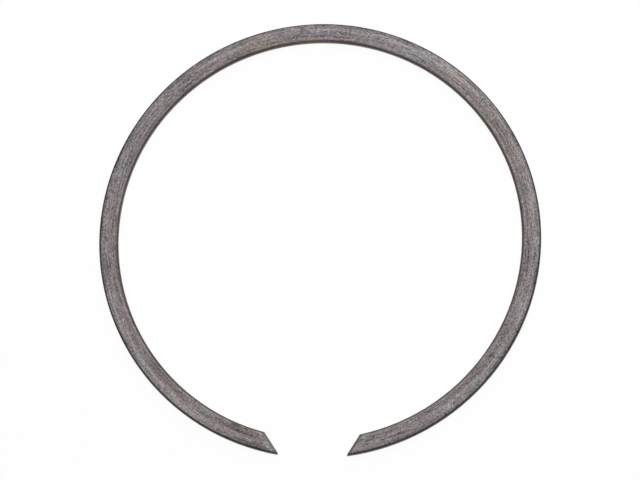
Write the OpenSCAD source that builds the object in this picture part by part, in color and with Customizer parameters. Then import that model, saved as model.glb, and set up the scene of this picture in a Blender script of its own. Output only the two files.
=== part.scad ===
// Retaining ring for a bore groove, bent from flat spring wire with rounded edges.
// Both ends are sheared off at a slant, so the gap is narrowest at the outer rim.
// The ring's axis is Z, its lower face lies on z = 0 and the gap is centred on -Y.
// Left and right are as seen from above with the gap towards the viewer.

/* [Ring] */
// Outer diameter of the free ring
ring_od = 170; // [120:1:240]
// Width of the wire along the radius
wire_width = 7.4; // [4:0.1:12]
// Thickness of the wire along the axis
wire_thickness = 3; // [1.5:0.1:5]
// Radius of the wire's two outer long edges
outer_edge_radius = 0.8; // [0.2:0.05:1.5]
// Radius of its two inner long edges, which bending has upset and made rounder
inner_edge_radius = 1.2; // [0.2:0.05:1.5]

/* [Ends] */
// Free gap between the two tips
end_gap = 26.8; // [6:0.1:50]
// Angle of the left cut from the radius at its tip
left_cut_angle = 43.3; // [25:0.1:50]
// Angle of the right cut from the radius at its tip
right_cut_angle = 39.5; // [25:0.1:50]
// Length of the blunt flat on the left tip
left_tip_flat = 0.8; // [0.1:0.1:2]
// Length of the blunt flat on the right tip
right_tip_flat = 0.5; // [0.1:0.1:2]
// Width of the rolled-over edge that shearing left on each cut, seen from above
end_bevel_width = 1; // [0.2:0.1:2]
// Depth of that rolled-over edge
end_bevel_depth = 0.4; // [0.1:0.05:1]

/* [Hidden] */
$fn = 240;

outer_r = ring_od / 2;
inner_r = outer_r - wire_width;

// The long edges leave some flat side wall, and the bevels some upright cut face:
// neither takes more than this share of the thickness
edge_share = 0.45;
outer_edge_r = min(outer_edge_radius, edge_share * wire_thickness);
inner_edge_r = min(inner_edge_radius, edge_share * wire_thickness);
bevel_depth = min(end_bevel_depth, edge_share * wire_thickness);

// How far a cutter runs past the surface that it cuts
overrun = 1;

// The tips stand on the outer rim, on either side of the gap
tip_x = end_gap / 2;
tip_y = -sqrt(outer_r * outer_r - tip_x * tip_x);
tip_angle = asin(tip_x / outer_r);

// Slant of a cut from the gap's centre line
function slant(cut_angle) = cut_angle - tip_angle;

// Length of a cut line from the outer rim until just past the inner rim
function cut_reach(cut_angle) =
    outer_r * cos(cut_angle)
    - sqrt(inner_r * inner_r - pow(outer_r * sin(cut_angle), 2))
    + overrun;

// Where the left cut line starts, at the inner end of the tip's flat
function cut_start(tip_flat) = [-tip_x, tip_y + tip_flat];

// Where the left cut line ends, inside the ring
function cut_end(cut_angle, tip_flat) =
    cut_start(tip_flat)
    + cut_reach(cut_angle) * [-sin(slant(cut_angle)), cos(slant(cut_angle))];

// The same point on the right end
function across(point) = [-point.x, point.y];

// Section of a bevel cutter. The cut face is at x = 0 with the metal on its left,
// edge_y is the height of the wire's face, and up is 1 on the upper face, -1 below.
// The slope runs on into the gap, so it crosses the cut face cleanly.
function bevel_profile(edge_y, up) =
    let (slope = bevel_depth / end_bevel_width)
    [
        [-end_bevel_width - overrun / slope, edge_y + up * overrun],
        [overrun, edge_y + up * overrun],
        [overrun, edge_y - up * (bevel_depth + overrun * slope)]
    ];

// One side of the wire's section, left of x = 0: two rounded edges and the wall between
module rounded_side(edge_r) {
    translate([-edge_r, edge_r])
        square([edge_r, wire_thickness - 2 * edge_r]);
    for (y = [edge_r, wire_thickness - edge_r])
        translate([0, y])
            circle(r = edge_r);
}

// The wire's section: a flat strip with rounded edges, lower inner corner at 0, 0
module wire_section() {
    flat_width = wire_width - inner_edge_r - outer_edge_r;
    translate([inner_edge_r, 0]) {
        square([flat_width, wire_thickness]);
        rounded_side(inner_edge_r);
        translate([flat_width, 0])
            mirror([1, 0])
                rounded_side(outer_edge_r);
    }
}

// The wire bent to a full circle
module ring_blank() {
    rotate_extrude()
        translate([inner_r, 0])
            wire_section();
}

// The piece of wire between the two cuts
module gap_cutter() {
    outer_edge_y = -outer_r - overrun;
    translate([0, 0, -overrun])
        linear_extrude(wire_thickness + 2 * overrun)
            polygon([
                [-tip_x, outer_edge_y],
                cut_start(left_tip_flat),
                cut_end(left_cut_angle, left_tip_flat),
                across(cut_end(right_cut_angle, right_tip_flat)),
                across(cut_start(right_tip_flat)),
                [tip_x, outer_edge_y]
            ]);
}

// Rolled-over upper and lower edges of the left cut face. The cutters run past
// both rims by the width of the wire, because the rims meet the cut at a slant.
module cut_bevels(cut_angle, tip_flat) {
    inner_end = cut_reach(cut_angle) + wire_width;
    translate(cut_start(tip_flat))
        rotate([0, 0, slant(cut_angle)])
            translate([0, inner_end, 0])
                rotate([90, 0, 0])
                    linear_extrude(inner_end + wire_width) {
                        polygon(bevel_profile(wire_thickness, 1));
                        polygon(bevel_profile(0, -1));
                    }
}

module retaining_ring() {
    color([0.44, 0.42, 0.41])
        difference() {
            ring_blank();
            gap_cutter();
            cut_bevels(left_cut_angle, left_tip_flat);
            mirror([1, 0, 0])
                cut_bevels(right_cut_angle, right_tip_flat);
        }
}

retaining_ring();
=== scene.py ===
"""Dresses the retaining ring in worn spring steel and stages it as in the photograph.

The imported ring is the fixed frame. This script adds its finish, a pale floor, soft light and the
camera. Lengths are in millimetres, unless a name ends in _m, and angles are in degrees.
"""

from __future__ import annotations

import logging
import math
from dataclasses import dataclass, field, replace
from enum import Enum, IntEnum
from functools import reduce
from typing import Union

import bmesh
import bpy
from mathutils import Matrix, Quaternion, Vector


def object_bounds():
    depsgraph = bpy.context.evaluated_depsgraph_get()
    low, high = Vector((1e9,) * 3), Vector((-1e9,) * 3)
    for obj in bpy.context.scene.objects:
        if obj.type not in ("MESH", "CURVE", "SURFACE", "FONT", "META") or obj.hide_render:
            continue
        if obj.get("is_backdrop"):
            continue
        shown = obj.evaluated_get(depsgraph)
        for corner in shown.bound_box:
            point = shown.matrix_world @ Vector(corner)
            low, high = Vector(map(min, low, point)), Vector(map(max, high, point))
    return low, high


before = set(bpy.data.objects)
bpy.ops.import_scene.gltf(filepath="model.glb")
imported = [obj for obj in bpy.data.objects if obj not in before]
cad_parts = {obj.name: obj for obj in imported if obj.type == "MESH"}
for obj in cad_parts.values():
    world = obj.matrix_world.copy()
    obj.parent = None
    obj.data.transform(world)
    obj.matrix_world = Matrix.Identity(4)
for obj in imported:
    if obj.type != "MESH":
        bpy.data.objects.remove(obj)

LOG = logging.getLogger("retaining_ring")
MM = 0.001
UP = Vector((0.0, 0.0, 1.0))

Colour = tuple[float, float, float]
Reach = tuple[float, float]
Stops = tuple[tuple[float, float], ...]
Term = Union["Socket", float]
Paint = Union["Socket", Colour]


class Operation(Enum):
    """The sums that Math nodes do here."""

    ADD = "ADD"
    SUBTRACT = "SUBTRACT"
    MULTIPLY = "MULTIPLY"
    DIVIDE = "DIVIDE"
    ABSOLUTE = "ABSOLUTE"
    MAXIMUM = "MAXIMUM"


class MixSocket(IntEnum):
    """Numbers of the sockets that a Mix node uses for colours."""

    SHARE = 0
    FIRST = 6
    SECOND = 7
    BLENDED = 2


@dataclass(frozen=True)
class Socket:
    """One output socket. Arithmetic on it adds Math nodes to its graph."""

    graph: "Graph"
    out: bpy.types.NodeSocket

    def __add__(self, other: Term) -> "Socket":
        """Adds a number or another socket."""
        return self.graph.math(Operation.ADD, self, other)

    def __radd__(self, other: Term) -> "Socket":
        """Adds to a number on the left."""
        return self.graph.math(Operation.ADD, other, self)

    def __sub__(self, other: Term) -> "Socket":
        """Takes away a number or another socket."""
        return self.graph.math(Operation.SUBTRACT, self, other)

    def __rsub__(self, other: Term) -> "Socket":
        """Takes this socket away from a number."""
        return self.graph.math(Operation.SUBTRACT, other, self)

    def __mul__(self, other: Term) -> "Socket":
        """Multiplies by a number or another socket."""
        return self.graph.math(Operation.MULTIPLY, self, other)

    def __rmul__(self, other: Term) -> "Socket":
        """Multiplies a number on the left."""
        return self.graph.math(Operation.MULTIPLY, other, self)

    def __truediv__(self, other: Term) -> "Socket":
        """Divides by a number or another socket."""
        return self.graph.math(Operation.DIVIDE, self, other)

    def __rtruediv__(self, other: Term) -> "Socket":
        """Divides a number on the left."""
        return self.graph.math(Operation.DIVIDE, other, self)

    def __abs__(self) -> "Socket":
        """Drops the sign."""
        return self.graph.math(Operation.ABSOLUTE, self)


class Graph:
    """A node tree, written as method calls."""

    def __init__(self, tree: bpy.types.NodeTree) -> None:
        """Empties the tree, ready to be filled.

        Args:
            tree: The node tree to fill.
        """
        self.tree = tree
        tree.nodes.clear()

    def node(
        self,
        kind: str,
        settings: dict[str, object] | None = None,
        inputs: dict[str | int, object] | None = None,
    ) -> bpy.types.Node:
        """Adds one node.

        Args:
            kind: The node's type name.
            settings: Its settings, or a ramp's stops, set first as they can change its sockets.
            inputs: The value or link of each socket, by name or number.

        Returns:
            The new node.
        """
        made = self.tree.nodes.new(kind)
        for name, value in (settings or {}).items():
            if name == "stops":
                self.place_stops(made.color_ramp, value)
            else:
                setattr(made, name, value)
        for key, value in (inputs or {}).items():
            self.feed(made.inputs[key], value)
        return made

    @staticmethod
    def place_stops(ramp: bpy.types.ColorRamp, stops: Stops) -> None:
        """Sets a new ramp's stops, on a smooth curve.

        Args:
            ramp: The ramp of a new node.
            stops: Place and level of each stop.
        """
        ramp.interpolation = "B_SPLINE"
        elements = ramp.elements
        elements.remove(elements[-1])
        elements[0].position = stops[0][0]
        for position, _ in stops[1:]:
            elements.new(position)
        for element, (_, level) in zip(elements, stops):
            element.color = (level, level, level, 1.0)

    def feed(self, socket: bpy.types.NodeSocket, value: object) -> None:
        """Links or sets one input socket.

        Args:
            socket: The input socket.
            value: A Socket, a number, or a colour or vector.
        """
        if isinstance(value, Socket):
            self.tree.links.new(value.out, socket)
        elif socket.type == "RGBA":
            socket.default_value = (*value, 1.0)
        else:
            socket.default_value = value

    def result(self, made: bpy.types.Node, output: str | int = 0) -> Socket:
        """One output of a node, ready for sums."""
        return Socket(self, made.outputs[output])

    def math(self, operation: Operation, *terms: Term) -> Socket:
        """Adds one Math node.

        Args:
            operation: The sum to do.
            *terms: Its one or two terms.

        Returns:
            The result.
        """
        made = self.node("ShaderNodeMath", {"operation": operation.value}, dict(enumerate(terms)))
        return self.result(made)

    def highest(self, *terms: Socket) -> Socket:
        """The largest of several values."""
        return reduce(lambda first, second: self.math(Operation.MAXIMUM, first, second), terms)

    def scaled(self, vector: Socket, factor: Term) -> Socket:
        """Scales a vector or a colour.

        Args:
            vector: The vector or colour.
            factor: What it is scaled by.

        Returns:
            The scaled one.
        """
        inputs = {0: vector, "Scale": factor}
        made = self.node("ShaderNodeVectorMath", {"operation": "SCALE"}, inputs)
        return self.result(made, "Vector")

    def length(self, vector: Socket) -> Socket:
        """Length of a vector."""
        made = self.node("ShaderNodeVectorMath", {"operation": "LENGTH"}, {0: vector})
        return self.result(made, "Value")

    def join(self, x: Term, y: Term, z: Term) -> Socket:
        """Three numbers as one vector."""
        return self.result(self.node("ShaderNodeCombineXYZ", inputs={0: x, 1: y, 2: z}))

    def split(self, vector: Socket) -> tuple[Socket, Socket, Socket]:
        """One vector as three numbers."""
        made = self.node("ShaderNodeSeparateXYZ", inputs={0: vector})
        return self.result(made, 0), self.result(made, 1), self.result(made, 2)

    def rise(self, value: Socket, start: float, end: float) -> Socket:
        """A smooth step.

        Args:
            value: What the step follows.
            start: Where it is still 0.
            end: Where it has become 1, on either side of the start.

        Returns:
            The step, from 0 to 1.
        """
        made = self.node(
            "ShaderNodeMapRange",
            {"interpolation_type": "SMOOTHSTEP"},
            {"Value": value, "From Min": min(start, end), "From Max": max(start, end)},
        )
        step = self.result(made, "Result")
        return 1.0 - step if end < start else step

    def noise(self, place: Socket, octaves: float, octave_strength: float) -> Socket:
        """Cloud noise with clouds about one unit apart.

        Args:
            place: Where it is read.
            octaves: How many finer octaves are added.
            octave_strength: How strong the finer octaves are.

        Returns:
            The noise, about -0.3 to 0.3 with 0 in the middle.
        """
        made = self.node(
            "ShaderNodeTexNoise",
            inputs={
                "Vector": place,
                "Scale": 1.0,
                "Detail": octaves,
                "Roughness": octave_strength,
            },
        )
        return self.result(made) - 0.5

    def mix(self, share: Term, first: Paint, second: Paint) -> Socket:
        """Blends two colours.

        Args:
            share: How much of the second, from 0 to 1.
            first: A colour or a socket.
            second: A colour or a socket.

        Returns:
            The blended colour.
        """
        made = self.node(
            "ShaderNodeMix",
            {"data_type": "RGBA"},
            {MixSocket.SHARE: share, MixSocket.FIRST: first, MixSocket.SECOND: second},
        )
        return self.result(made, MixSocket.BLENDED)

    def ramp(self, place: Socket, stops: Stops) -> Socket:
        """Level of a smooth curve at a place from 0 to 1."""
        return self.result(self.node("ShaderNodeValToRGB", {"stops": stops}, {0: place}))


@dataclass(frozen=True)
class CutPlane:
    """The plane of one sheared end face."""

    point: Vector
    normal: Vector


@dataclass(frozen=True)
class WireShape:
    """What the finish needs to know of the ring's shape.

    A face of the mesh belongs to a cut if its normal points upwards by less than the first limit
    and along the wire by more than the second.
    """

    most_upwards = 0.1
    least_along = 0.5

    inner_r: float
    outer_r: float
    thickness: float
    cuts: tuple[CutPlane, ...]

    @property
    def middle_r(self) -> float:
        """Radius of the wire's centre line."""
        return (self.inner_r + self.outer_r) / 2

    @property
    def width(self) -> float:
        """Width of the wire along the radius."""
        return self.outer_r - self.inner_r

    @classmethod
    def measured(cls, piece: bpy.types.Object) -> "WireShape":
        """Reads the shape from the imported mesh.

        Args:
            piece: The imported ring.

        Returns:
            Its shape.
        """
        points = [vertex.co / MM for vertex in piece.data.vertices]
        radii = [point.xy.length for point in points]
        heights = [point.z for point in points]
        across_wire = [face for face in piece.data.polygons if cls.lies_across(face)]
        planes = []
        for side in (-1, 1):
            cut = max((f for f in across_wire if f.center.x * side > 0), key=lambda face: face.area)
            planes.append(CutPlane(cut.center / MM, cut.normal.copy()))
        return cls(min(radii), max(radii), max(heights) - min(heights), tuple(planes))

    @classmethod
    def lies_across(cls, face: bpy.types.MeshPolygon) -> bool:
        """Finds the cut faces among the mesh's faces.

        Args:
            face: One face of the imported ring.

        Returns:
            Whether it is upright and lies across the wire, not along it.
        """
        along = UP.cross(face.center).normalized()
        upright = abs(face.normal.z) < cls.most_upwards
        turned_along = abs(face.normal.dot(along)) > cls.least_along
        return upright and turned_along


class WireSurface:
    """Where a shaded point lies on the wire, as sockets in millimetres.

    Attributes:
        graph: The material's graph.
        shape: The ring's shape.
        arc_x: X of the nearest point on the wire's centre line.
        arc_y: Y of that point.
        across: Distance outwards from the centre line.
        height: Height above the lower face.
        girth: A place that changes both across the wire and up it, for noise.
        to_rim: Distance from the nearer rim, seen from above.
        outside: 0 on the inner half of the wire and 1 on the outer half.
        along: How far the surface is turned to face along the wire, from 0 to 1.
        facing: How far it is turned to face up or down, from 0 to 1.
        cut_depth: Distance into the metal from the nearer cut face.
    """

    girth_for_height = 2.6
    halves_meet = 0.2
    clear_of_gap = 10.0
    far_from_cuts = 1000.0

    def __init__(self, graph: Graph, shape: WireShape) -> None:
        """Works out the place from object coordinates.

        Args:
            graph: The material's graph.
            shape: The ring's shape.
        """
        where = graph.node("ShaderNodeTexCoord")
        x, y, z = graph.split(graph.scaled(graph.result(where, "Object"), 1 / MM))
        nx, ny, nz = graph.split(graph.result(where, "Normal"))
        radius = graph.length(graph.join(x, y, 0.0))
        out_x = x / radius
        out_y = y / radius
        self.graph = graph
        self.shape = shape
        self.arc_x = out_x * shape.middle_r
        self.arc_y = out_y * shape.middle_r
        self.across = radius - shape.middle_r
        self.height = z
        self.girth = self.across + z * self.girth_for_height
        self.to_rim = shape.width / 2 - abs(self.across)
        self.outside = graph.rise(self.across, -self.halves_meet, self.halves_meet)
        self.along = abs(nx * out_y - ny * out_x)
        self.facing = abs(nz)
        self.cut_depth = self.depth_from_cuts(x, y)

    def depth_from_cuts(self, x: Socket, y: Socket) -> Socket:
        """Distance into the metal from the nearer cut face, and a large number away from the gap.

        Args:
            x: Place along the row's X.
            y: Place along the row's Y.

        Returns:
            The distance.
        """
        depths = [
            cut.point.dot(cut.normal) - x * cut.normal.x - y * cut.normal.y
            for cut in self.shape.cuts
        ]
        start = max(cut.point.y for cut in self.shape.cuts) + self.clear_of_gap
        away = self.graph.rise(y, start, start + self.clear_of_gap)
        return self.graph.highest(*depths) + away * self.far_from_cuts


@dataclass(frozen=True)
class Marks:
    """One layer of noise that marks the steel.

    Attributes:
        length: Length of its clouds.
        width: Width of its clouds.
        offset: Where in the noise the layer starts, so that no two layers match.
        octaves: How many finer octaves are added.
        octave_strength: How strong the finer octaves are.
        contrast: How much the layer shades the steel.
        relief: How high it stands.
        roughens: How much it adds to the roughness.
        shine: How much it adds to the metallic look.
    """

    length: float
    width: float
    offset: float = 0.0
    octaves: float = 2.0
    octave_strength: float = 0.5
    contrast: float = 1.0
    relief: float = 0.0
    roughens: float = 0.0
    shine: float = 0.0

    def read(self, surface: WireSurface) -> Socket:
        """Reads the layer, drawn out along the wire.

        Args:
            surface: Where the shaded point lies on the wire.

        Returns:
            The noise.
        """
        along_x = surface.arc_x / self.length + self.offset
        along_y = surface.arc_y / self.length
        return self.read_at(surface.graph.join(along_x, along_y, surface.girth / self.width))

    def read_at(self, place: Socket) -> Socket:
        """Reads the layer at a place that is already measured in clouds."""
        return place.graph.noise(place, self.octaves, self.octave_strength)


@dataclass(frozen=True)
class Look:
    """How one zone of the surface looks. The relief is a height in millimetres."""

    colour: Socket
    roughness: Term
    metallic: Term
    relief: Term

    def under(self, cover: "Look", share: Socket) -> "Look":
        """Lays another look over this one.

        Args:
            cover: The look on top.
            share: How much of it shows.

        Returns:
            The two together.
        """
        return Look(
            share.graph.mix(share, self.colour, cover.colour),
            self.roughness + (cover.roughness - self.roughness) * share,
            self.metallic + (cover.metallic - self.metallic) * share,
            self.relief + (cover.relief - self.relief) * share,
        )


@dataclass(frozen=True)
class Stain:
    """One stain or rubbed spot on the wire, with a soft, uneven edge.

    The angle is seen from above, from the row's X towards its Y, and across is measured outwards
    from the wire's centre line. Length and width are measured from the middle to the edge, and
    the stain fades from full to nothing between two shares of them.
    """

    fades = (0.35, 1.15)

    angle: float
    across: float
    length: float
    width: float
    depth: float
    raggedness: float = 0.9

    def cover(self, surface: WireSurface, unevenness: Socket) -> Socket:
        """How much of the stain shows.

        Args:
            surface: Where the point lies on the wire.
            unevenness: Noise that breaks up the stain's edge.

        Returns:
            Its share.
        """
        graph = surface.graph
        turn = math.radians(self.angle)
        aside_x = (surface.arc_x - surface.shape.middle_r * math.cos(turn)) / self.length
        aside_y = (surface.arc_y - surface.shape.middle_r * math.sin(turn)) / self.length
        aside_across = (surface.across - self.across) / self.width
        aside = graph.length(graph.join(aside_x, aside_y, aside_across))
        full, nothing = self.fades
        return graph.rise(aside + unevenness * self.raggedness, nothing, full) * self.depth


@dataclass(frozen=True)
class Tint:
    """A colour that the steel takes in soft clouds and in a few stains.

    The clouds lie where their noise is on the peak's side of 0, and are in full at the peak.
    """

    colour: Colour
    peak: float
    share: float
    stains: tuple[Stain, ...] = ()

    def cover(self, surface: WireSurface, clouds: Socket, unevenness: Socket) -> Socket:
        """How much of the tint shows.

        Args:
            surface: Where the point lies on the wire.
            clouds: Noise that the clouds follow.
            unevenness: Noise that breaks up the stains' edges.

        Returns:
            Its share.
        """
        cloud = surface.graph.rise(clouds, 0.0, self.peak) * self.share
        stains = (stain.cover(surface, unevenness) for stain in self.stains)
        return surface.graph.highest(cloud, *stains)


@dataclass(frozen=True)
class RolledFace:
    """The flat faces: dull grey, finely speckled, with rolling streaks along the wire.

    The tones run across the wire, from the inner rim at 0 to the outer one at 1. The numbers of
    each stain are its angle, its place across the wire, its length and width and its depth, and
    those of the first smudge end with its raggedness.
    """

    outer_colour: Colour = (0.247, 0.2235, 0.229)
    inner_colour: Colour = (0.215, 0.183, 0.184)
    colours_meet: Reach = (-2.8, 2.4)
    tones: Stops = (
        (0.00, 0.48),
        (0.17, 0.52),
        (0.34, 0.42),
        (0.50, 0.485),
        (0.66, 0.59),
        (0.84, 0.41),
        (1.00, 0.36),
    )
    level: float = 1.35
    roughness: float = 0.42
    metallic: float = 0.55
    grain: Marks = Marks(
        length=0.85,
        width=0.33,
        offset=3.0,
        octave_strength=0.55,
        contrast=2.4,
        relief=0.012,
        roughens=-0.5,
        shine=0.3,
    )
    streaks: Marks = Marks(
        length=8.0,
        width=0.34,
        offset=17.0,
        octave_strength=0.55,
        contrast=1.5,
        relief=0.008,
        roughens=-0.3,
    )
    bands: Marks = Marks(length=30.0, width=0.8, offset=33.0, octaves=1.0, contrast=0.9)
    patches: Marks = Marks(length=16.0, width=6.0, offset=55.0, contrast=0.8)
    pits: Marks = Marks(
        length=1.9,
        width=1.0,
        offset=63.0,
        octaves=1.0,
        contrast=-0.22,
        relief=-0.010,
        roughens=0.15,
    )
    pit_reach: Reach = (0.14, 0.24)
    mauve_or_green: Marks = Marks(length=7.0, width=5.2, offset=91.5)
    brown_or_blue: Marks = Marks(length=14.0, width=9.0, offset=149.0)
    mauve: Tint = Tint(
        colour=(0.232, 0.186, 0.214),
        peak=0.22,
        share=0.6,
        stains=(
            Stain(176.5, -0.4, 7.0, 1.0, 0.8),
            Stain(185.0, -1.1, 7.0, 0.9, 0.8),
            Stain(151.0, 0.0, 12.0, 1.2, 0.6),
            Stain(91.5, -1.6, 5.0, 1.4, 0.7),
            Stain(74.0, -1.8, 9.0, 1.5, 0.6),
            Stain(8.0, -1.6, 4.5, 1.4, 0.7),
            Stain(-58.0, 1.2, 8.0, 1.8, 0.6),
            Stain(-78.0, 0.5, 7.0, 3.5, 0.6),
        ),
    )
    green: Tint = Tint(colour=(0.213, 0.212, 0.194), peak=-0.22, share=0.65)
    brown: Tint = Tint(
        colour=(0.244, 0.205, 0.186),
        peak=0.2,
        share=0.75,
        stains=(
            Stain(226.0, 0.0, 60.0, 12.0, 0.40),
            Stain(183.0, 0.5, 15.0, 9.0, 0.6),
            Stain(32.0, -1.5, 20.0, 6.0, 0.55),
            Stain(-82.0, 0.0, 14.0, 9.0, 0.6),
            Stain(252.0, 0.0, 13.0, 9.0, 0.55),
            Stain(-10.0, -2.2, 14.0, 3.5, 0.6),
        ),
    )
    blue: Tint = Tint(
        colour=(0.213, 0.205, 0.226),
        peak=-0.2,
        share=0.75,
        stains=(
            Stain(71.0, 0.0, 20.0, 9.0, 0.6),
            Stain(151.0, 0.0, 17.0, 9.0, 0.35),
            Stain(-56.0, 1.0, 11.0, 9.0, 0.35),
        ),
    )
    smudges: tuple[Stain, ...] = (
        Stain(247.7, -2.6, 2.5, 1.1, 0.50, 0.6),
        Stain(-80.3, 2.0, 2.0, 1.3, 0.20),
        Stain(253.5, 2.2, 7.5, 1.4, 0.42),
        Stain(-75.8, 0.1, 2.6, 1.6, 0.22),
        Stain(96.5, 2.0, 1.3, 1.0, 0.45),
        Stain(47.0, 1.2, 12.0, 2.4, 0.15),
        Stain(-46.0, 1.8, 10.0, 2.0, 0.14),
        Stain(-33.2, -1.0, 1.2, 0.8, 0.45),
        Stain(189.5, 1.7, 14.0, 2.0, 0.34),
        Stain(152.0, 1.7, 22.0, 1.8, 0.12),
        Stain(103.0, -1.7, 10.0, 1.6, 0.12),
        Stain(-62.0, 1.7, 16.0, 2.2, 0.14),
        Stain(110.5, 1.8, 9.0, 2.0, 0.15),
        Stain(242.0, 1.8, 9.0, 2.0, 0.12),
    )
    rubbed: tuple[Stain, ...] = (
        Stain(224.0, 1.6, 34.0, 2.0, 0.16),
        Stain(54.0, 1.8, 38.0, 1.9, 0.19),
        Stain(63.0, -1.0, 18.0, 2.2, 0.12),
        Stain(203.0, -2.7, 20.0, 0.9, 0.22),
        Stain(74.0, 1.8, 14.0, 2.0, 0.24),
        Stain(95.0, 1.8, 16.0, 2.0, 0.14),
        Stain(14.0, 1.8, 10.0, 2.0, 0.11),
    )

    def look(self, surface: WireSurface) -> Look:
        """Builds the look.

        Args:
            surface: Where the point lies on the wire.

        Returns:
            The look of a flat face.
        """
        grain = self.grain.read(surface)
        streaks = self.streaks.read(surface)
        pits = surface.graph.rise(self.pits.read(surface), *self.pit_reach)
        shade = self.shade(surface, grain, streaks, pits)
        return Look(
            surface.graph.scaled(self.colour(surface, streaks), shade),
            self.roughness
            + grain * self.grain.roughens
            + streaks * self.streaks.roughens
            + pits * self.pits.roughens,
            self.metallic + grain * self.grain.shine,
            grain * self.grain.relief + streaks * self.streaks.relief + pits * self.pits.relief,
        )

    def shade(self, surface: WireSurface, grain: Socket, streaks: Socket, pits: Socket) -> Socket:
        """Works out how light the face is.

        Args:
            surface: Where the point lies on the wire.
            grain: The finest noise.
            streaks: The noise of the rolling streaks.
            pits: Where the pits are.

        Returns:
            What the colour is scaled by.
        """
        graph = surface.graph
        tone = graph.ramp(surface.across / surface.shape.width + 0.5, self.tones) * self.level
        mottle = (
            grain * self.grain.contrast
            + streaks * self.streaks.contrast
            + self.bands.read(surface) * self.bands.contrast
            + self.patches.read(surface) * self.patches.contrast
            + pits * self.pits.contrast
        )
        ragged = grain + streaks
        smudge = graph.highest(*(stain.cover(surface, ragged) for stain in self.smudges))
        rubbed = graph.highest(*(stain.cover(surface, ragged) for stain in self.rubbed))
        return tone * (1.0 + mottle) * (1.0 + rubbed) * (1.0 - smudge)

    def colour(self, surface: WireSurface, streaks: Socket) -> Socket:
        """Works out the colour of the face before it is shaded.

        Args:
            surface: Where the point lies on the wire.
            streaks: The noise of the rolling streaks.

        Returns:
            The colour.
        """
        graph = surface.graph
        tint = self.mauve_or_green.read(surface)
        warmth = self.brown_or_blue.read(surface)
        mauve = self.mauve.cover(surface, tint, streaks)
        green = self.green.cover(surface, tint, streaks) * (1.0 - mauve)
        outwards = graph.rise(surface.across, *self.colours_meet)
        colour = graph.mix(outwards, self.inner_colour, self.outer_colour)
        colour = graph.mix(self.brown.cover(surface, warmth, warmth), colour, self.brown.colour)
        colour = graph.mix(self.blue.cover(surface, warmth, warmth), colour, self.blue.colour)
        colour = graph.mix(mauve, colour, self.mauve.colour)
        return graph.mix(green, colour, self.green.colour)


@dataclass(frozen=True)
class ScaleAndShadeLine:
    """One rim: a dark line along its edges, of scale and painted shade, and a lighter wall.

    Each reach says how far from the rim a zone starts, and where it is in full.
    """

    edge: Colour
    wall: Colour
    reach: Reach
    wall_reach: Reach

    def share(self, surface: WireSurface) -> Socket:
        """How much of the rim shows."""
        return surface.graph.rise(surface.to_rim, *self.reach)

    def colour(self, surface: WireSurface) -> Socket:
        """Colour of the edge and the wall."""
        bare = surface.graph.rise(surface.to_rim, *self.wall_reach)
        return surface.graph.mix(bare, self.edge, self.wall)


@dataclass(frozen=True)
class ScaledAndShadedRim:
    """The rims: dark tempering scale along their rounded edges, deepened there by painted shade."""

    # Each edge colour is darker than its wall partly as painted shade, where the rounded edge turns
    # from the light.
    inner: ScaleAndShadeLine = ScaleAndShadeLine(
        edge=(0.080, 0.0665, 0.0610),
        wall=(0.190, 0.151, 0.131),
        reach=(0.80, 0.50),
        wall_reach=(0.38, 0.12),
    )
    outer: ScaleAndShadeLine = ScaleAndShadeLine(
        edge=(0.031, 0.0258, 0.0247),
        wall=(0.074, 0.064, 0.061),
        reach=(0.62, 0.39),
        wall_reach=(0.39, 0.16),
    )
    rusty: ScaleAndShadeLine = replace(inner, edge=(0.21, 0.12, 0.062), wall=(0.235, 0.178, 0.142))
    rust_stain: Stain = Stain(93.0, -3.6, 11.0, 1.6, 0.75)
    heavy_scale: Stain = Stain(270.0, -3.7, 120.0, 2.0, 0.24, 0.0)
    rubbed: Colour = (0.19, 0.174, 0.166)
    rubbed_share: float = 0.6
    rubbed_reach: Reach = (0.12, 0.26)
    rubbed_roughens: float = -0.08
    rubbed_shine: float = 0.2
    roughness: float = 0.44
    metallic: float = 0.50
    grain: Marks = Marks(length=0.9, width=0.5, offset=103.0, octave_strength=0.6, relief=0.006)
    streaks: Marks = Marks(
        length=9.0,
        width=0.6,
        offset=119.0,
        octave_strength=0.55,
        contrast=1.2,
        relief=0.006,
    )

    def share(self, surface: WireSurface) -> Socket:
        """How much of the rims' look shows."""
        inner = self.inner.share(surface)
        return inner + (self.outer.share(surface) - inner) * surface.outside

    def look(self, surface: WireSurface) -> Look:
        """Builds the look.

        Args:
            surface: Where the point lies on the wire.

        Returns:
            The look of a rim.
        """
        graph = surface.graph
        grain = self.grain.read(surface)
        streaks = self.streaks.read(surface)
        rubs = graph.rise(streaks, *self.rubbed_reach)
        rust = self.rust_stain.cover(surface, streaks)
        heavy = self.heavy_scale.cover(surface, streaks)
        mottle = grain * self.grain.contrast + streaks * self.streaks.contrast
        colour = graph.mix(surface.outside, self.inner.colour(surface), self.outer.colour(surface))
        colour = graph.mix(rubs * self.rubbed_share, colour, self.rubbed)
        colour = graph.mix(rust, colour, self.rusty.colour(surface))
        return Look(
            graph.scaled(colour, (1.0 + mottle) * (1.0 - heavy)),
            self.roughness + rubs * self.rubbed_roughens,
            self.metallic + rubs * self.rubbed_shine,
            grain * self.grain.relief + streaks * self.streaks.relief,
        )


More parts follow.
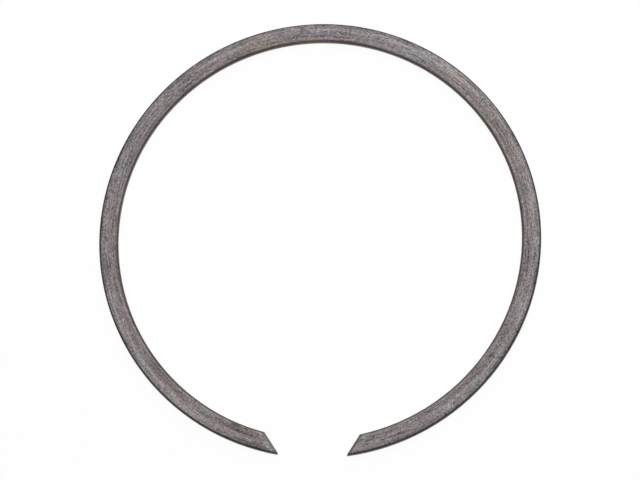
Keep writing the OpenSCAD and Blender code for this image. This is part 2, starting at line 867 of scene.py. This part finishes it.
@dataclass(frozen=True)
class RolledOverEdge:
    """The strip that the shear rolled over along each cut, darkest next to the cut.

    The colour's reach is measured from the cut, with waves, and that of the scale from the rim.
    """

    colour: Colour = (0.146, 0.129, 0.124)
    dark: Colour = (0.112, 0.098, 0.093)
    scale: Colour = (0.042, 0.036, 0.034)
    colour_reach: Reach = (0.0, 1.0)
    colour_waves: float = 1.2
    scale_reach: Reach = (0.7, 0.35)
    roughness: float = 0.5
    metallic: float = 0.45
    grain: Marks = Marks(
        length=0.7,
        width=0.6,
        offset=133.0,
        octave_strength=0.6,
        contrast=1.4,
        relief=0.014,
    )

    def look(self, surface: WireSurface) -> Look:
        """Builds the look.

        Args:
            surface: Where the point lies on the wire.

        Returns:
            The look of a rolled-over edge.
        """
        graph = surface.graph
        grain = self.grain.read(surface)
        wavy_depth = surface.cut_depth + grain * self.colour_waves
        colour = graph.mix(graph.rise(wavy_depth, *self.colour_reach), self.dark, self.colour)
        colour = graph.mix(graph.rise(surface.to_rim, *self.scale_reach), colour, self.scale)
        colour = graph.scaled(colour, 1.0 + grain * self.grain.contrast)
        return Look(colour, self.roughness, self.metallic, grain * self.grain.relief)


@dataclass(frozen=True)
class ShearedFace:
    """The cut faces: a burnished band where the blade went in, torn metal below it.

    Here the length of a layer's clouds is their height up the face. The border between the two
    zones follows the drag lines in waves.
    """

    burnished: Colour = (0.23, 0.215, 0.206)
    torn: Colour = (0.115, 0.105, 0.099)
    burnished_share: float = 0.36
    burnished_roughens: float = -0.24
    burnished_shine: float = 0.25
    border_blur: float = 0.15
    border_waves: float = 1.6
    drag: Marks = Marks(length=2.4, width=0.22, octave_strength=0.55, contrast=0.8, relief=0.012)
    drag_drift: float = 5.0
    crumbs: Marks = Marks(
        length=0.3,
        width=0.4,
        offset=7.0,
        octaves=3.0,
        octave_strength=0.6,
        contrast=0.9,
        relief=0.03,
    )
    roughness: float = 0.62
    metallic: float = 0.55

    def look(self, surface: WireSurface) -> Look:
        """Builds the look.

        Args:
            surface: Where the point lies on the wire.

        Returns:
            The look of a sheared face.
        """
        graph = surface.graph
        drag = self.read_drag(surface)
        border = surface.shape.thickness * (1.0 - self.burnished_share)
        wavy_height = surface.height + drag * self.border_waves
        shiny = graph.rise(wavy_height, border - self.border_blur, border + self.border_blur)
        crumbs = self.read_crumbs(surface) * (1.0 - shiny)
        colour = graph.mix(shiny, self.torn, self.burnished)
        return Look(
            graph.scaled(colour, 1.0 + drag * self.drag.contrast + crumbs * self.crumbs.contrast),
            self.roughness + shiny * self.burnished_roughens,
            self.metallic + shiny * self.burnished_shine,
            drag * self.drag.relief + crumbs * self.crumbs.relief,
        )

    def read_drag(self, surface: WireSurface) -> Socket:
        """Reads the upright lines that the blade dragged down the cut.

        Args:
            surface: Where the point lies on the wire.

        Returns:
            The noise.
        """
        aside = surface.across / self.drag.width
        upwards = surface.height / self.drag.length
        drift = surface.across / self.drag_drift
        return self.drag.read_at(surface.graph.join(aside, upwards, drift))

    def read_crumbs(self, surface: WireSurface) -> Socket:
        """Reads the crumbs of torn metal.

        Args:
            surface: Where the point lies on the wire.

        Returns:
            The noise.
        """
        aside = surface.across / self.crumbs.width
        upwards = surface.height / self.crumbs.length
        return self.crumbs.read_at(surface.graph.join(aside, upwards, self.crumbs.offset))


@dataclass(frozen=True)
class BareShoulder:
    """The shoulder that the shear left behind each cut, rubbed to bare metal in flecks.

    Its start, the depths between which it is in full, and its end are measured from the cut.
    """

    colour: Colour = (0.29, 0.270, 0.260)
    start: float = 1.0
    full_from: float = 1.56
    full_until: float = 2.12
    end: float = 3.8
    flecks: Marks = Marks(length=1.3, width=0.9, offset=151.0)
    fleck_reach: Reach = (-0.05, 0.18)
    roughness: float = 0.45
    metallic: float = 0.6
    grain: Marks = Marks(
        length=0.6,
        width=0.5,
        offset=163.0,
        octave_strength=0.6,
        contrast=0.6,
        relief=0.008,
    )

    def share(self, surface: WireSurface) -> Socket:
        """Works out how much of it shows.

        Args:
            surface: Where the point lies on the wire.

        Returns:
            Its share.
        """
        graph = surface.graph
        past_start = graph.rise(surface.cut_depth, self.start, self.full_from)
        before_end = graph.rise(surface.cut_depth, self.end, self.full_until)
        flecks = graph.rise(self.flecks.read(surface), *self.fleck_reach)
        return past_start * before_end * flecks

    def look(self, surface: WireSurface) -> Look:
        """Builds the look.

        Args:
            surface: Where the point lies on the wire.

        Returns:
            The look of bare, rubbed metal.
        """
        grain = self.grain.read(surface)
        bare = surface.graph.join(*self.colour)
        colour = surface.graph.scaled(bare, 1.0 + grain * self.grain.contrast)
        return Look(colour, self.roughness, self.metallic, grain * self.grain.relief)


@dataclass(frozen=True)
class SpringSteel:
    """The whole finish of the ring, zone by zone.

    Each reach says where a zone is still nothing, and where it is in full. That of the bevel is
    measured from the start of the shoulder.
    """

    face: RolledFace = RolledFace()
    rim: ScaledAndShadedRim = ScaledAndShadedRim()
    shoulder: BareShoulder = BareShoulder()
    rolled: RolledOverEdge = RolledOverEdge()
    sheared: ShearedFace = ShearedFace()
    specular: float = 0.2
    bevel_reach: Reach = (0.05, -0.1)
    level_reach: Reach = (0.6, 0.8)
    cut_reach: Reach = (0.4, 0.6)

    def look(self, surface: WireSurface) -> Look:
        """Lays the zones over each other.

        Args:
            surface: Where the point lies on the wire.

        Returns:
            The look of the whole ring.
        """
        graph = surface.graph
        bevel_start, bevel_full = (self.shoulder.start + edge for edge in self.bevel_reach)
        in_bevel = graph.rise(surface.cut_depth, bevel_start, bevel_full)
        level = graph.rise(surface.facing, *self.level_reach)
        on_cut = graph.rise(surface.along, *self.cut_reach)
        look = self.face.look(surface)
        look = look.under(self.shoulder.look(surface), self.shoulder.share(surface))
        look = look.under(self.rim.look(surface), self.rim.share(surface))
        look = look.under(self.rolled.look(surface), in_bevel * level)
        return look.under(self.sheared.look(surface), on_cut)

    def dress(self, slot: bpy.types.MaterialSlot, shape: WireShape) -> None:
        """Puts the finish on one material slot of the ring.

        Args:
            slot: The slot to fill.
            shape: The ring's shape.
        """
        material = bpy.data.materials.new("spring_steel")
        material.use_nodes = True
        graph = Graph(material.node_tree)
        look = self.look(WireSurface(graph, shape))
        bump = graph.node(
            "ShaderNodeBump",
            inputs={"Strength": 1.0, "Distance": MM, "Height": look.relief},
        )
        shader = graph.node(
            "ShaderNodeBsdfPrincipled",
            inputs={
                "Base Color": look.colour,
                "Metallic": look.metallic,
                "Roughness": look.roughness,
                "Specular IOR Level": self.specular,
                "Normal": graph.result(bump),
            },
        )
        graph.node("ShaderNodeOutputMaterial", inputs={0: graph.result(shader)})
        slot.material = material


@dataclass
class RetainingRing:
    """The ring itself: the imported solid, measured and dressed in its finish."""

    node: str = "retaining_ring"
    finish: SpringSteel = field(default_factory=SpringSteel)

    def dress(self, nodes: dict[str, bpy.types.Object]) -> None:
        """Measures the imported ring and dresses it.

        Args:
            nodes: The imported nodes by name.
        """
        piece = nodes[self.node]
        shape = WireShape.measured(piece)
        for slot in piece.material_slots:
            self.finish.dress(slot, shape)
        LOG.info("%s: radii %.1f and %.1f mm", self.node, shape.inner_r, shape.outer_r)


def rays_that_show_white(graph: Graph) -> Socket:
    """1 for the rays to which the surroundings are plain white, and 0 for those that light.

    Args:
        graph: The graph of the floor or the room.

    Returns:
        The switch.
    """
    rays = graph.node("ShaderNodeLightPath")
    kinds = ("Is Camera Ray", "Is Glossy Ray", "Is Transmission Ray")
    return graph.highest(*(graph.result(rays, kind) for kind in kinds))


@dataclass
class PaleFloor:
    """The floor: lit by the lamp, with enough glow of its own to show as white."""

    radius_m: float = 8.0
    segments: int = 96
    colour: Colour = (0.85, 0.85, 0.85)
    glow: float = 0.95

    def lay(self, height_m: float) -> None:
        """Lays the floor.

        Args:
            height_m: The height of the ring's underside.
        """
        mesh = bpy.data.meshes.new("floor")
        shape = bmesh.new()
        bmesh.ops.create_circle(shape, cap_ends=True, segments=self.segments, radius=self.radius_m)
        shape.to_mesh(mesh)
        shape.free()
        mesh.materials.append(self.paint())
        piece = bpy.data.objects.new("floor", mesh)
        piece.location.z = height_m
        bpy.context.collection.objects.link(piece)
        piece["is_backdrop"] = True
        LOG.info("floor: %.0f m across", 2 * self.radius_m)

    def paint(self) -> bpy.types.Material:
        """Makes the floor's material.

        Returns:
            The material.
        """
        material = bpy.data.materials.new("pale_floor")
        material.use_nodes = True
        graph = Graph(material.node_tree)
        plain = graph.node("ShaderNodeBsdfDiffuse", inputs={"Color": self.colour})
        white = graph.node("ShaderNodeEmission", inputs={"Color": (1.0, 1.0, 1.0), "Strength": 1.0})
        mixed = graph.node(
            "ShaderNodeMixShader",
            inputs={
                0: rays_that_show_white(graph) * self.glow,
                1: graph.result(plain),
                2: graph.result(white),
            },
        )
        graph.node("ShaderNodeOutputMaterial", inputs={0: graph.result(mixed)})
        return material


@dataclass
class SoftLight:
    """One large soft lamp above the far side of the ring, and the even light of a pale room."""

    power: float = 22.5
    size_m: float = 2.0
    distance_m: float = 1.3
    azimuth: float = 10.0
    elevation: float = 55.0
    room_level: float = 0.32
    white_below: float = 0.05
    dim_above: float = 0.12

    def hang(self, aim: Vector) -> None:
        """Hangs the lamp and lights the room.

        Args:
            aim: The point that the lamp faces.
        """
        azimuth = math.radians(self.azimuth)
        elevation = math.radians(self.elevation)
        level = Vector((math.sin(azimuth), math.cos(azimuth), 0.0))
        away = level * math.cos(elevation) + UP * math.sin(elevation)
        light = bpy.data.lights.new("soft_lamp", "AREA")
        light.shape = "DISK"
        light.size = self.size_m
        light.energy = self.power
        lamp = bpy.data.objects.new("soft_lamp", light)
        lamp.location = aim + away * self.distance_m
        lamp.rotation_mode = "QUATERNION"
        lamp.rotation_quaternion = away.to_track_quat("Z", "Y")
        lamp.visible_camera = False
        bpy.context.collection.objects.link(lamp)
        self.light_room()
        LOG.info("soft lamp: %.0f W at %.1f m", self.power, self.distance_m)

    def light_room(self) -> None:
        """Makes the world: an even, dim white that shows as full white near the horizon."""
        world = bpy.data.worlds.new("pale_room")
        world.use_nodes = True
        graph = Graph(world.node_tree)
        _, _, height = graph.split(graph.result(graph.node("ShaderNodeTexCoord"), "Generated"))
        shown = rays_that_show_white(graph) * graph.rise(height, self.dim_above, self.white_below)
        level = self.room_level + shown * (1.0 - self.room_level)
        room = graph.node(
            "ShaderNodeBackground",
            inputs={"Color": (1.0, 1.0, 1.0), "Strength": level},
        )
        graph.node("ShaderNodeOutputWorld", inputs={0: graph.result(room)})
        bpy.context.scene.world = world


@dataclass
class LongLens:
    """The photograph's viewing angle: nearly straight down through a long lens."""

    tilt: float = 12.81
    azimuth: float = 22.18
    roll: float = 1.49
    distance_m: float = 3.533
    lens: float = 518.1
    sensor: float = 36.0
    right: float = 0.04
    up: float = 0.09

    def aim_at(self, aim: Vector) -> None:
        """Makes the camera.

        Args:
            aim: The point in the middle of the picture, before the two small offsets.
        """
        azimuth = math.radians(self.azimuth)
        tilt_axis = Vector((math.cos(azimuth), math.sin(azimuth), 0.0))
        tilted = Quaternion(tilt_axis, math.radians(self.tilt))
        turn = tilted @ Quaternion(UP, math.radians(self.roll))
        offset = Vector((self.right * MM, self.up * MM, self.distance_m))
        data = bpy.data.cameras.new("camera")
        data.lens = self.lens
        data.sensor_width = self.sensor
        camera = bpy.data.objects.new("camera", data)
        camera.rotation_mode = "QUATERNION"
        camera.rotation_quaternion = turn
        camera.location = aim + turn @ offset
        bpy.context.collection.objects.link(camera)
        bpy.context.scene.camera = camera
        LOG.info("camera: %.2f m from the ring", self.distance_m)


def main() -> None:
    """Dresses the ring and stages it."""
    logging.basicConfig(level=logging.INFO, format="%(name)s %(message)s")
    cad_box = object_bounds()
    low, high = cad_box
    aim = Vector((0.0, 0.0, (low.z + high.z) / 2))
    bpy.context.scene.view_settings.view_transform = "Standard"
    RetainingRing().dress(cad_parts)
    PaleFloor().lay(low.z)
    SoftLight().hang(aim)
    LongLens().aim_at(aim)


if __name__ == "__main__":
    main()
